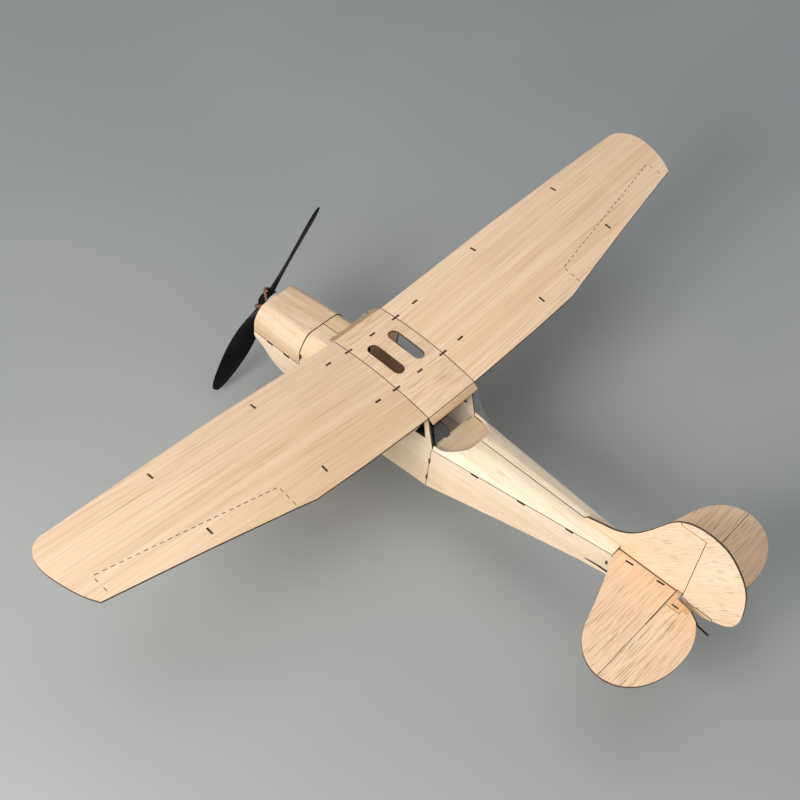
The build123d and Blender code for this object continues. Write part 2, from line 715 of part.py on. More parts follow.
with BuildPart() as stabilizer:
    with BuildSketch(plan_view(TAIL_Z - SHEET / 2)):
        with BuildLine():
            tail_half_outline()
        make_face()
        mirror(about=Plane.YZ)
        with Locations((0, ELEVATOR_Y - HINGE_GAP / 2 + 20)):
            Rectangle(120, 40, mode=Mode.SUBTRACT)
        # slots for the sides' tabs, and for the fin
        for sign in (1, -1):
            with Locations((sign * 3.2, 143.7), (sign * 2.0, 157.9)):
                Rectangle(0.9, TAB + 0.5, rotation=sign * 6, mode=Mode.SUBTRACT)
    extrude(amount=SHEET)
pieces["stabilizer"] = stabilizer

with BuildPart() as elevator_left:
    with BuildSketch(plan_view(TAIL_Z - SHEET / 2)):
        with BuildLine():
            tail_half_outline()
        make_face()
        with Locations((0, ELEVATOR_Y + HINGE_GAP / 2 - 20)):
            Rectangle(120, 40, mode=Mode.SUBTRACT)
        # the joiner plate fills this corner
        with Locations((4.35, 168.0)):
            Rectangle(8.9 + GAP, 6.6, mode=Mode.SUBTRACT)
        with Locations((3.35, 170.0)):
            Rectangle(6.9, 7.4, mode=Mode.SUBTRACT)
    extrude(amount=SHEET)
pieces["elevator_left"] = elevator_left

with BuildPart() as elevator_joiner:
    with BuildSketch(plan_view(TAIL_Z - SHEET / 2)):
        front = ELEVATOR_Y + HINGE_GAP / 2
        with BuildLine():
            Polyline(
                (0, front), (8.7, front), (8.7, 171.2), (6.7, 171.2), (6.7, 173.6), (4.9, 173.6),
                (4.2, 172.4), (3.6, 167.1), (0, 167.0), close=True,
            )
        make_face()
        mirror(about=Plane.YZ)
        with Locations((HORN_X, 168.2)):
            Rectangle(0.9, 3.0, mode=Mode.SUBTRACT)
    extrude(amount=SHEET)
pieces["elevator_joiner"] = elevator_joiner

ELEVATOR_HORN_R = TAIL_Z - rod_z(ELEVATOR_Y)
with BuildPart() as elevator_horn:
    with BuildSketch(side_view(HORN_X - 0.4)):
        with BuildLine():
            Polyline(
                (166.8, TAIL_Z + 0.4),
                (169.6, TAIL_Z + 0.4),
                (169.6, TAIL_Z - 3.0),
                (166.0, TAIL_Z - ELEVATOR_HORN_R - 1.8),
                (163.4, TAIL_Z - ELEVATOR_HORN_R - 1.8),
                (163.4, TAIL_Z - ELEVATOR_HORN_R + 1.4),
                (166.8, TAIL_Z - 2.2),
                close=True,
            )
        make_face()
        with Locations((ELEVATOR_Y, TAIL_Z - ELEVATOR_HORN_R - 0.3)):
            SlotOverall(1.9, 0.95, rotation=90, mode=Mode.SUBTRACT)
    extrude(amount=0.8)
pieces["elevator_horn"] = elevator_horn

BALANCE = (156.6, 19.7)
FIN_OUTLINE = [(133.8, -6.9), (139.7, -2.4), (144.8, 4.3), (149.5, 12.3), (155.1, 20.3), (160.8, 23.5)]


def fin_and_rudder_outline():
    """Side outline of the fin with its dorsal strip, and the rudder."""
    Polyline((118.5, ridge_z(118.5) + 0.15), (119.7, -11.6), (127.8, -9.0))
    Spline(
        (127.8, -9.0), *FIN_OUTLINE, (168.9, 24.3), (176.0, 22.4), (182.2, 17.4), (187.7, 9.8), (190.7, -1.4),
        (190.9, -8.7), (188.7, -14.0), (184.6, -16.8), (181.0, -18.1),
    )
    Polyline(
        (181.0, -18.1),
        (177.0, -19.2),
        (172.5, -20.1),
        (RUDDER_Y, -20.4),
        (RUDDER_Y, -14.4),
        (ELEVATOR_Y, -14.4),
        (ELEVATOR_Y, TAIL_Z + SHEET / 2 + 0.05),
        (DECK_END + 0.2, TAIL_Z + SHEET / 2 + 0.05),
        (DECK_END + 0.2, RIDGE_TAIL_Z + 0.15),
        (118.5, ridge_z(118.5) + 0.15),
    )


def rudder_region():
    """Area behind the hinge line and over the fin's top, which the rudder takes."""
    front = RUDDER_Y + HINGE_GAP / 2
    Polyline(
        (front, -30), (front, BALANCE[1] + 0.3), (BALANCE[0], BALANCE[1] + 0.3), (BALANCE[0] - 10, 40),
        (200, 40), (200, -30), close=True,
    )


with BuildPart() as fin:
    with BuildSketch(side_view(-SHEET / 2)):
        with BuildLine():
            fin_and_rudder_outline()
        make_face()
        with BuildLine():
            rear = RUDDER_Y - HINGE_GAP / 2
            Polyline(
                (rear, -30), (rear, BALANCE[1]), (BALANCE[0] - 0.3, BALANCE[1]), (BALANCE[0] - 10.3, 40),
                (200, 40), (200, -30), close=True,
            )
        make_face(mode=Mode.SUBTRACT)
    extrude(amount=SHEET)
pieces["fin"] = fin

with BuildPart() as rudder:
    with BuildSketch(side_view(-SHEET / 2)):
        with BuildLine():
            fin_and_rudder_outline()
        make_face()
        with BuildLine():
            rudder_region()
        make_face(mode=Mode.INTERSECT)
    extrude(amount=SHEET)
pieces["rudder"] = rudder

RUDDER_HORN_R = ROD_X
RUDDER_HORN_Z = -21.25
with BuildPart() as rudder_horn:
    with BuildSketch(plan_view(RUDDER_HORN_Z)):
        with BuildLine():
            Polyline(
                (0.6, 168.0), (0.6, 171.8), (-1.0, 171.8), (-RUDDER_HORN_R - 1.8, 168.8),
                (-RUDDER_HORN_R - 1.8, 166.2), (-RUDDER_HORN_R + 1.6, 166.2), (-1.0, 168.0), close=True,
            )
        make_face()
        with Locations((-RUDDER_HORN_R - 0.15, RUDDER_Y)):
            SlotOverall(2.0, 0.9, mode=Mode.SUBTRACT)
    extrude(amount=0.8)
pieces["rudder_horn"] = rudder_horn

SKID_R = 0.4
with BuildPart() as tail_skid:
    with BuildLine() as skid_path:
        FilletPolyline(
            at(0, 172.6, -18.6), at(0, 173.4, -22.4), at(0, 177.8, -26.8), at(0, 183.0, -27.8), radius=1.0
        )
    with BuildSketch(Plane(origin=skid_path.line @ 0, z_dir=skid_path.line % 0)):
        Circle(SKID_R)
    sweep()
pieces["tail_skid"] = tail_skid

# ---------------------------------------------------------------- controls


def control_rod(points):
    """Wire along points given as datum stations, with tight bends at both ends."""
    with BuildPart() as rod:
        with BuildLine() as path:
            FilletPolyline(*[at(*point) for point in points], radius=0.6)
        with BuildSketch(Plane(origin=path.line @ 0, z_dir=path.line % 0)):
            Circle(ROD_R)
        sweep()
    return rod


pieces["elevator_pushrod"] = control_rod(
    [
        (3.9, ELEVATOR_SERVO_Y, rod_z(ELEVATOR_SERVO_Y)),
        (ROD_X, ELEVATOR_SERVO_Y, rod_z(ELEVATOR_SERVO_Y)),
        (ROD_X, ELEVATOR_Y, rod_z(ELEVATOR_Y)),
        (8.0, ELEVATOR_Y, rod_z(ELEVATOR_Y)),
    ]
)
pieces["rudder_pushrod"] = control_rod(
    [
        (-3.9, RUDDER_SERVO_Y, rod_z(RUDDER_SERVO_Y)),
        (-ROD_X, RUDDER_SERVO_Y, rod_z(RUDDER_SERVO_Y)),
        (-ROD_X, RUDDER_Y, rod_z(RUDDER_Y)),
        (-ROD_X, RUDDER_Y, RUDDER_HORN_Z + 1.4),
    ]
)

SERVO = (6.0, 13.0, 10.0)  # width, length, height
SERVO_INNER = -2.2  # x of the case's far face, for the elevator's servo
ARM_INNER = 4.3
ARM_THICK = 0.8
ARM_HUB_R = 1.6
for name, sign, servo_y in (("elevator", 1, ELEVATOR_SERVO_Y), ("rudder", -1, RUDDER_SERVO_Y)):
    pivot_z = rod_z(servo_y) - ARM_R
    case_face = sign * (SERVO_INNER + SERVO[0])
    with BuildPart() as servo:
        case_z = FLOOR_Z - SHEET - GAP - SERVO[2] / 2
        with Locations(at(sign * (SERVO_INNER + SERVO[0] / 2), servo_y - 4.5, case_z)):
            Box(*SERVO)
        fillet(servo.edges().filter_by(Axis.X), 0.5)
        with BuildSketch(side_view(case_face)):
            with Locations((servo_y, pivot_z)):
                Circle(0.8)
        extrude(amount=sign * 1.0)
    pieces[f"{name}_servo"] = servo
    with BuildPart() as servo_arm:
        with BuildSketch(side_view(sign * ARM_INNER)):
            with Locations((servo_y, pivot_z)):
                Circle(ARM_HUB_R)
            with Locations((servo_y, pivot_z + ARM_R / 2)):
                SlotCenterToCenter(ARM_R, 2.6, rotation=90)
            with Locations((servo_y, pivot_z)):
                Circle(0.8 + RUNNING, mode=Mode.SUBTRACT)
            with Locations((servo_y, pivot_z + ARM_R + 0.25)):
                SlotOverall(1.9, 1.4, rotation=90, mode=Mode.SUBTRACT)
        extrude(amount=sign * ARM_THICK)
    pieces[f"{name}_servo_arm"] = servo_arm

with BuildPart() as battery:
    with Locations(at(0, 35, belly_z(46) + 4.6)):
        Box(11.0, 20.0, 5.4)
    fillet(battery.edges().filter_by(Axis.Y), 1.2)
pieces["battery"] = battery

# ---------------------------------------------------------------- power train


def gear(teeth, centre, bore, first_tooth):
    """Spur gear with straight-flanked teeth in the gears' plane, one of them at an angle in degrees."""
    pitch_r = MODULE * teeth / 2
    root_r, tip_r = pitch_r - 1.2 * MODULE, pitch_r + 0.9 * MODULE
    half_root, half_tip = 0.25 * math.pi * MODULE, 0.1 * math.pi * MODULE
    inner_r = root_r - 0.1
    flanks = [(inner_r, half_root), (tip_r, half_tip), (tip_r, -half_tip), (inner_r, -half_root)]
    with BuildPart() as wheel:
        with BuildSketch(front_view(GEAR_Y[1])):
            with Locations(centre):
                Circle(root_r)
                with PolarLocations(0, teeth, start_angle=first_tooth):
                    Polygon(*flanks, align=None)
                Circle(bore, mode=Mode.SUBTRACT)
        extrude(amount=GEAR_Y[1] - GEAR_Y[0])
    return wheel


# a gap of the spur gear faces a tooth of the pinion
pieces["spur_gear"] = gear(SPUR_TEETH, (0, SHAFT_Z), SHAFT_R, 180 + 180 / SPUR_TEETH)
MOTOR_SHAFT_R = 0.5
pieces["motor_pinion"] = gear(PINION_TEETH, (MOTOR_X, SHAFT_Z), MOTOR_SHAFT_R, 0)

SHAFT_FRONT_Y = -66.6
FRAME_FRONT_Y = -58.2
FRAME_REAR_Y = -48.0
MOTOR_REAR_Y = -41.0
with BuildPart() as gearbox_frame:
    with BuildSketch(front_view(NOSE_Y + 0.5)):
        with Locations((MOTOR_X / 2, SHAFT_Z)):
            SlotCenterToCenter(GEAR_CENTRES, 9.0)
    extrude(amount=NOSE_Y + 0.5 - FRAME_FRONT_Y)
    with BuildSketch(front_view(FRAME_REAR_Y)):
        with Locations((0, SHAFT_Z)):
            Circle(2.0)
    extrude(amount=FRAME_REAR_Y - NOSE_Y - 0.5)
    with BuildSketch(front_view(-50)):
        with Locations((MOTOR_X, SHAFT_Z)):
            Circle(MOTOR_R + 0.8)
            Circle(MOTOR_R, mode=Mode.SUBTRACT)
    extrude(amount=-50 - NOSE_Y - 0.5)
    with BuildSketch(front_view(FRAME_REAR_Y)):
        with Locations((0, SHAFT_Z)):
            Circle(SHAFT_R + RUNNING)
    extrude(amount=FRAME_REAR_Y - FRAME_FRONT_Y, mode=Mode.SUBTRACT)
    with BuildSketch(front_view(NOSE_Y + 0.5)):
        with Locations((MOTOR_X, SHAFT_Z)):
            Circle(1.2)
    extrude(amount=NOSE_Y + 0.5 - FRAME_FRONT_Y, mode=Mode.SUBTRACT)
pieces["gearbox_frame"] = gearbox_frame

with BuildPart() as motor:
    with BuildSketch(front_view(MOTOR_REAR_Y)):
        with Locations((MOTOR_X, SHAFT_Z)):
            Circle(MOTOR_R)
    extrude(amount=MOTOR_REAR_Y - NOSE_Y - 0.5)
    fillet(motor.edges().group_by(Axis.Y)[-1], 0.5)
    with BuildSketch(front_view(-51)):
        with Locations((MOTOR_X, SHAFT_Z)):
            Circle(MOTOR_SHAFT_R + RUNNING)
    extrude(amount=-51 - NOSE_Y, mode=Mode.SUBTRACT)
pieces["motor"] = motor

MOTOR_SHAFT_REAR_Y = -51.2
with BuildPart() as motor_shaft:
    with BuildSketch(front_view(MOTOR_SHAFT_REAR_Y)):
        with Locations((MOTOR_X, SHAFT_Z)):
            Circle(MOTOR_SHAFT_R)
    extrude(amount=MOTOR_SHAFT_REAR_Y - GEAR_Y[0] + 0.3)
pieces["motor_shaft"] = motor_shaft

# the shaft's upset rear end keeps it in its bearing
SHAFT_END_Y = FRAME_REAR_Y + 1.2
with BuildPart() as prop_shaft:
    with BuildSketch(front_view(SHAFT_END_Y)):
        with Locations((0, SHAFT_Z)):
            Circle(1.4)
    extrude(amount=SHAFT_END_Y - FRAME_REAR_Y - RUNNING)
    with BuildSketch(front_view(FRAME_REAR_Y + 0.5)):
        with Locations((0, SHAFT_Z)):
            Circle(SHAFT_R)
    extrude(amount=FRAME_REAR_Y + 0.5 - SHAFT_FRONT_Y)
pieces["prop_shaft"] = prop_shaft

lean = math.radians(PROP_LEAN)
BLADE_DIR = Vector(-math.sin(lean), 0, math.cos(lean))
ACROSS_DIR = Vector(math.cos(lean), 0, math.sin(lean))
HUB_POINT = Vector(*at(0, 0, SHAFT_Z))
POST_R = 0.6
POST_Y_HUB = -61.7
POST_REACH = 7.2


def on_prop(across, along, y):
    """Point given across the blades, along them, and at a datum station y."""
    return HUB_POINT + ACROSS_DIR * across + BLADE_DIR * along + Vector(0, y, 0)


BOSS_R = 1.6
with BuildPart() as prop_hub:
    with BuildSketch(front_view(GEAR_Y[0] - 0.1)):
        with Locations((0, SHAFT_Z)):
            Circle(4.3)
    extrude(amount=2.1)
    with BuildSketch(front_view(GEAR_Y[0] - 2.2)):
        with Locations((0, SHAFT_Z)):
            Circle(BOSS_R)
    extrude(amount=3.0)
    with BuildSketch(Plane(origin=on_prop(-POST_REACH, 0, POST_Y_HUB), z_dir=ACROSS_DIR)):
        Circle(POST_R)
    extrude(amount=2 * POST_REACH)
    for tip in (-POST_REACH, POST_REACH - 0.7):
        with BuildSketch(Plane(origin=on_prop(tip, 0, POST_Y_HUB), z_dir=ACROSS_DIR)):
            Circle(POST_R + 0.35)
        extrude(amount=0.7)
    with BuildSketch(front_view(-55)):
        with Locations((0, SHAFT_Z)):
            Circle(SHAFT_R)
    extrude(amount=12, mode=Mode.SUBTRACT)
pieces["prop_hub"] = prop_hub

# Blade sections: distance from the axis, chord, thickness and pitch in degrees
BLADE = [
    (2.6, 4.4, 2.8, 46), (7.0, 5.0, 2.4, 40), (14.0, 8.8, 1.9, 32), (22.0, 11.4, 1.5, 27),
    (31.0, 11.6, 1.3, 23), (40.0, 9.6, 1.1, 19), (46.5, 6.6, 0.9, 16), (PROP_R, 3.0, 0.6, 15),
]
PROP_HUB_R = 3.6
PROP_HUB_Y = (-66.2, -62.5)


def blade(side):
    """One propeller blade, lofted through its twisted lens-shaped sections."""
    with BuildPart() as solid:
        for radius, chord, thickness, pitch in BLADE:
            turn = math.radians(pitch)
            chord_dir = ACROSS_DIR * (side * math.cos(turn)) + Vector(0, math.sin(turn), 0)
            origin = on_prop(0, side * radius, PROP_Y)
            with BuildSketch(Plane(origin=origin, x_dir=chord_dir, z_dir=BLADE_DIR * side)):
                with BuildLine():
                    ThreePointArc((-chord / 2, 0), (0, thickness / 2), (chord / 2, 0))
                    ThreePointArc((chord / 2, 0), (0, -thickness / 2), (-chord / 2, 0))
                make_face()
        loft()
    return solid.part


blades = [blade(1), blade(-1)]
with BuildPart() as propeller:
    with BuildSketch(front_view(PROP_HUB_Y[1])):
        with Locations((0, SHAFT_Z)):
            Circle(PROP_HUB_R)
    extrude(amount=PROP_HUB_Y[1] - PROP_HUB_Y[0])
    add(blades)
    with BuildSketch(front_view(PROP_HUB_Y[1])):
        with Locations((0, SHAFT_Z)):
            Circle(BOSS_R)
    extrude(amount=4, mode=Mode.SUBTRACT)
pieces["propeller"] = propeller

BAND_R = 0.4
BAND_FRONT_Y = -68.0
with BuildPart() as rubber_band:
    with BuildLine() as loop:
        FilletPolyline(
            on_prop(5.8, 0.0, -60.2),
            on_prop(4.9, 4.9, -64.9),
            on_prop(0.0, 5.3, BAND_FRONT_Y),
            on_prop(-4.9, 4.9, -64.9),
            on_prop(-5.8, 0.0, -60.2),
            on_prop(-4.9, -4.9, -64.9),
            on_prop(0.0, -5.3, BAND_FRONT_Y),
            on_prop(4.9, -4.9, -64.9),
            radius=1.2,
            close=True,
        )
    with BuildSketch(Plane(origin=loop.line @ 0, z_dir=loop.line % 0)):
        Circle(BAND_R)
    sweep()
pieces["rubber_band"] = rubber_band

# ---------------------------------------------------------------- landing gear

CROSS_Z = belly_z(AXLE[1]) + SHEET + WIRE_R + 0.05
with BuildPart() as gear_wire:
    with BuildLine() as legs:
        FilletPolyline(
            at(AXLE[0] + 4.2, AXLE[1], AXLE[2]),
            at(AXLE[0] - 4.0, AXLE[1], AXLE[2]),
            at(16.6, AXLE[1], CROSS_Z),
            at(-16.6, AXLE[1], CROSS_Z),
            at(-AXLE[0] + 4.0, AXLE[1], AXLE[2]),
            at(-AXLE[0] - 4.2, AXLE[1], AXLE[2]),
            radius=1.5,
        )
    with BuildSketch(Plane(origin=legs.line @ 0, z_dir=legs.line % 0)):
        Circle(WIRE_R)
    sweep()
pieces["gear_wire"] = gear_wire

with BuildPart() as gear_block:
    with Locations(at(0, AXLE[1], CROSS_Z + 1.4)):
        Box(22, 6, 3.2)
    with BuildSketch(side_view(-15)):
        with Locations((AXLE[1], CROSS_Z)):
            Circle(WIRE_R)
    extrude(amount=30, mode=Mode.SUBTRACT)
pieces["gear_block"] = gear_block

with BuildPart() as wheel_left:
    with BuildSketch(side_view(AXLE[0] - WHEEL_WIDTH / 2)):
        with Locations((AXLE[1], AXLE[2])):
            Circle(WHEEL_R)
    extrude(amount=WHEEL_WIDTH)
    fillet(wheel_left.edges().filter_by(GeomType.CIRCLE), 1.8)
    for face_x, depth in ((AXLE[0] + WHEEL_WIDTH / 2, -1.1), (AXLE[0] - WHEEL_WIDTH / 2, 1.1)):
        with BuildSketch(side_view(face_x)):
            with Locations((AXLE[1], AXLE[2])):
                Circle(7.0)
                Circle(2.2, mode=Mode.SUBTRACT)
        extrude(amount=depth, mode=Mode.SUBTRACT)
    with BuildSketch(side_view(AXLE[0] - 5)):
        with Locations((AXLE[1], AXLE[2])):
            Circle(WIRE_R + RUNNING)
    extrude(amount=10, mode=Mode.SUBTRACT)
pieces["wheel_left"] = wheel_left

with BuildPart() as wheel_retainers:
    for x in (AXLE[0] + WHEEL_WIDTH / 2 + 0.15, AXLE[0] - WHEEL_WIDTH / 2 - 0.65):
        for sign in (1, -1):
            with BuildSketch(side_view(sign * x)):
                with Locations((AXLE[1], AXLE[2])):
                    Circle(1.4)
                    Circle(WIRE_R, mode=Mode.SUBTRACT)
            extrude(amount=sign * 0.5)
pieces["wheel_retainers"] = wheel_retainers

# ---------------------------------------------------------------- starboard twins and files

for port_name in [name for name in pieces if name.endswith("_left")]:
    with BuildPart() as twin:
        mirror(pieces[port_name].part, about=Plane.YZ)
    pieces[port_name.replace("_left", "_right")] = twin

for label, piece in pieces.items():
    piece.part.label = label
    export_step(piece.part, f"parts/{label}.step")
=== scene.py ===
import math
import random

import bpy
from mathutils import Matrix, Vector


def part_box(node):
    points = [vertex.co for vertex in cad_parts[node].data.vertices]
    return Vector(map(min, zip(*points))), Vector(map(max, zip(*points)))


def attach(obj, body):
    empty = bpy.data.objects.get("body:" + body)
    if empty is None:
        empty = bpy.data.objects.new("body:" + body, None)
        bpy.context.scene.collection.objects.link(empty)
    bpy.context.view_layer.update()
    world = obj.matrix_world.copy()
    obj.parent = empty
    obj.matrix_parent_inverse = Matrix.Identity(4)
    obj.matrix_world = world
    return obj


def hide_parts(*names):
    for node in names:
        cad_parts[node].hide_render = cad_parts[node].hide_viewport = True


# Looks of the balsa model aircraft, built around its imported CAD. Lengths are in metres.

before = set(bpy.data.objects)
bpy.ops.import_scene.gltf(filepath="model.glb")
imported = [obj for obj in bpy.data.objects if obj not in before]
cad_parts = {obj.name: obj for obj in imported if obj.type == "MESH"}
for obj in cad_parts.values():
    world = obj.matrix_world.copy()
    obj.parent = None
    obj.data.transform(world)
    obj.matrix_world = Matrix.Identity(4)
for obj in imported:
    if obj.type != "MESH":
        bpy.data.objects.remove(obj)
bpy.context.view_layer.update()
MM = 0.001

# ---------------------------------------------------------------- camera, floor and light

CAMERA_PLACE = Vector((0.3104, 0.1858, 0.4771))
CAMERA_AZIMUTH = math.radians(126.3)
CAMERA_ELEVATION = math.radians(48.5)
CAMERA_ROLL = math.radians(7.81)
CAMERA_LENS = 59.8


def camera_rotation():
    """Rotation of a camera that looks down from the given azimuth and elevation, with a roll."""
    level = math.cos(CAMERA_ELEVATION)
    back = Vector(
        (math.sin(CAMERA_AZIMUTH) * level, -math.cos(CAMERA_AZIMUTH) * level, math.sin(CAMERA_ELEVATION))
    )
    right = Vector((0, 0, 1)).cross(back).normalized()
    up = back.cross(right)
    across = right * math.cos(CAMERA_ROLL) + up * math.sin(CAMERA_ROLL)
    upright = up * math.cos(CAMERA_ROLL) - right * math.sin(CAMERA_ROLL)
    return Matrix((across, upright, back)).transposed()


camera_data = bpy.data.cameras.new("camera")
camera_data.lens = CAMERA_LENS
camera_data.clip_start = 0.01
camera = bpy.data.objects.new("camera", camera_data)
camera.matrix_world = Matrix.Translation(CAMERA_PLACE) @ camera_rotation().to_4x4()
bpy.context.scene.collection.objects.link(camera)
bpy.context.scene.camera = camera
bpy.context.scene.view_settings.view_transform = "Standard"


def srgb(red, green, blue, alpha=1.0):
    """Linear colour for an sRGB one given from 0 to 255."""
    def linear(value):
        value /= 255
        return value / 12.92 if value <= 0.04045 else ((value + 0.055) / 1.055) ** 2.4
    return linear(red), linear(green), linear(blue), alpha


class Graph:
    """Node tree of a material, with short ways to add and join its nodes."""

    def __init__(self, name):
        self.material = bpy.data.materials.new(name)
        self.material.use_nodes = True
        self.nodes = self.material.node_tree.nodes
        self.links = self.material.node_tree.links
        self.shader = self.nodes["Principled BSDF"]
        self.coords = self.nodes.new("ShaderNodeTexCoord")
        self.place = self.coords.outputs["Object"]

    def lean(self, angle):
        """Turns the texture's space about X, so that the grain rises aft."""
        node = self.nodes.new("ShaderNodeVectorRotate")
        node.rotation_type = "X_AXIS"
        node.inputs["Angle"].default_value = -angle
        self.links.new(self.place, node.inputs["Vector"])
        self.place = node.outputs[0]

    def join(self, value, socket):
        """Links a node's socket, or sets a constant."""
        if isinstance(value, bpy.types.NodeSocket):
            self.links.new(value, socket)
        else:
            socket.default_value = value

    def math(self, operation, *values):
        node = self.nodes.new("ShaderNodeMath")
        node.operation = operation
        for value, socket in zip(values, node.inputs):
            self.join(value, socket)
        return node.outputs[0]

    def mapped(self, scale, offset=(0, 0, 0)):
        """Object coordinates stretched by a scale, in cells per metre."""
        node = self.nodes.new("ShaderNodeMapping")
        self.links.new(self.place, node.inputs["Vector"])
        node.inputs["Scale"].default_value = scale
        node.inputs["Location"].default_value = offset
        return node.outputs[0]

    def noise(self, scale, detail=2.0, roughness=0.5, distortion=0.0, offset=(0, 0, 0)):
        node = self.nodes.new("ShaderNodeTexNoise")
        self.links.new(self.mapped(scale, offset), node.inputs["Vector"])
        node.inputs["Scale"].default_value = 1.0
        node.inputs["Detail"].default_value = detail
        node.inputs["Roughness"].default_value = roughness
        node.inputs["Distortion"].default_value = distortion
        return node.outputs[0]

    def ramp(self, value, low, high, start=0.0, end=1.0):
        """Value moved from the range low to high onto start to end, smooth and clamped."""
        node = self.nodes.new("ShaderNodeMapRange")
        node.interpolation_type = "SMOOTHSTEP"
        self.links.new(value, node.inputs["Value"])
        for name, number in (("From Min", low), ("From Max", high), ("To Min", start), ("To Max", end)):
            node.inputs[name].default_value = number
        return node.outputs[0]

    def blend(self, factor, first, second):
        """Mix of two colours."""
        node = self.nodes.new("ShaderNodeMix")
        node.data_type = "RGBA"
        self.join(factor, node.inputs["Factor"])
        self.join(first, node.inputs["A"])
        self.join(second, node.inputs["B"])
        return node.outputs["Result"]

    def axis(self, source, axes):
        """One component of the object coordinates or normal, or a sum of them weighted by axes."""
        node = self.nodes.new("ShaderNodeVectorMath")
        node.operation = "DOT_PRODUCT"
        self.links.new(self.coords.outputs[source], node.inputs[0])
        node.inputs[1].default_value = axes
        return node.outputs["Value"]

    def bump(self, height, strength, distance):
        node = self.nodes.new("ShaderNodeBump")
        node.inputs["Strength"].default_value = strength
        node.inputs["Distance"].default_value = distance
        self.links.new(height, node.inputs["Height"])
        self.links.new(node.outputs[0], self.shader.inputs["Normal"])


AXES = {"X": (1, 0, 0), "Y": (0, 1, 0), "Z": (0, 0, 1)}
BURNT = srgb(46, 28, 16)
BURNT_DEEP = srgb(20, 12, 7)
SMOKED = srgb(224, 178, 126)
PORE = srgb(166, 128, 92)
# noise cells per metre, along and across the grain
BROAD_CELLS = (5, 48)
BAND_CELLS = (6, 420)
FIBRE_CELLS = (20, 1900)
PORE_CELLS = (75, 2900)
PATCH_CELLS = (9, 60)


def grain_scale(grain, cut, along, across):
    """Texture scale in cells per metre: along for the grain and the sheet's thickness, across for the rest.

    A bent sheet has the same cut and grain, and a solid block has no cut, so both are fine in two axes.
    """
    return tuple(along if axis in (grain, cut) else across for axis in "XYZ")


def wood(
    name, grain, cut, light=(244, 217, 178), dark=(222, 188, 144), streaks=0.5, seed=0.0, lines=(), lean=0.0,
    streak_length=1.0, stains=(),
):
    """Balsa with its grain along an axis. A sheet's cut edges are laser-burnt, and cut is its face's normal.

    A bent sheet has the same cut and grain, and is burnt at its ends. With no cut, only its lines are burnt.
    Each of lines is a burnt line (axes, value, width, extra), where extra is None or (axes, low, high).
    Each of stains is a patch of smoke (axes, value, width) that fades out over its width.
    """
    g = Graph(name)
    if lean:
        g.lean(lean)
    offset = (seed, seed * 1.7, seed * 0.6)
    broad = g.noise(grain_scale(grain, cut, *BROAD_CELLS), detail=2, offset=offset)
    band_scale = grain_scale(grain, cut, *BAND_CELLS)
    bands = g.noise(band_scale, detail=3, roughness=0.6, distortion=0.05, offset=offset)
    fibres = g.noise(grain_scale(grain, cut, *FIBRE_CELLS), detail=3, roughness=0.7, offset=offset)
    pore_scale = grain_scale(grain, cut, PORE_CELLS[0] / streak_length, PORE_CELLS[1])
    pores = g.noise(pore_scale, detail=1.0, roughness=0.5, offset=(seed + 3, seed, seed))
    tone = g.math("ADD", g.math("MULTIPLY", broad, 0.5), g.math("MULTIPLY", bands, 0.5))
    colour = g.blend(g.ramp(tone, 0.34, 0.62), srgb(*dark), srgb(*light))
    shade = g.nodes.new("ShaderNodeVectorMath")
    shade.operation = "SCALE"
    g.links.new(colour, shade.inputs[0])
    g.links.new(g.ramp(fibres, 0.35, 0.65, 0.93, 1.02), shade.inputs["Scale"])
    patches = g.noise(grain_scale(grain, cut, *PATCH_CELLS), detail=1, offset=(seed, seed + 5, seed))
    patchy = g.ramp(patches, 0.3, 0.6, 0.45, 1.0)
    dark_pores = g.math("MULTIPLY", g.math("MULTIPLY", g.ramp(pores, 0.53, 0.72), patchy), streaks)
    colour = g.blend(dark_pores, shade.outputs[0], PORE)
    for axes, value, width in stains:
        distance = g.math("ABSOLUTE", g.math("SUBTRACT", g.axis("Object", axes), value))
        fade = g.ramp(distance, 0.0, width, 0.55, 0.0)
        smoke = g.math("MULTIPLY", fade, g.ramp(broad, 0.3, 0.65, 0.3, 1.0))
        colour = g.blend(smoke, colour, SMOKED)
    burns = []
    if cut:
        facing = g.math("ABSOLUTE", g.axis("Normal", AXES[cut]))
        if cut == grain:  # bent sheets are cut only at their ends
            burns.append(g.ramp(facing, 0.6, 0.8, 0.0, 0.9))
        else:
            burns.append(g.ramp(facing, 0.5, 0.75, 0.9, 0.0))
    for axes, value, width, extra in lines:
        distance = g.math("ABSOLUTE", g.math("SUBTRACT", g.axis("Object", axes), value))
        line = g.ramp(distance, width * 0.5, width, 0.9, 0.0)
        if extra:
            along = g.axis("Object", extra[0])
            line = g.math("MULTIPLY", line, g.math("GREATER_THAN", along, extra[1]))
            line = g.math("MULTIPLY", line, g.math("LESS_THAN", along, extra[2]))
        burns.append(line)
    if burns:
        burn = burns[0]
        for other in burns[1:]:
            burn = g.math("MAXIMUM", burn, other)
        char = g.blend(g.ramp(fibres, 0.4, 0.6), BURNT_DEEP, BURNT)
        colour = g.blend(burn, colour, char)
    g.links.new(colour, g.shader.inputs["Base Color"])
    g.links.new(g.ramp(fibres, 0.3, 0.7, 0.62, 0.78), g.shader.inputs["Roughness"])
    g.shader.inputs["Specular IOR Level"].default_value = 0.16
    height = g.math("ADD", g.math("MULTIPLY", bands, 0.5), g.math("MULTIPLY", fibres, 0.5))
    g.bump(g.math("SUBTRACT", height, g.math("MULTIPLY", dark_pores, 0.5)), 0.3, 0.0001)
    return g.material


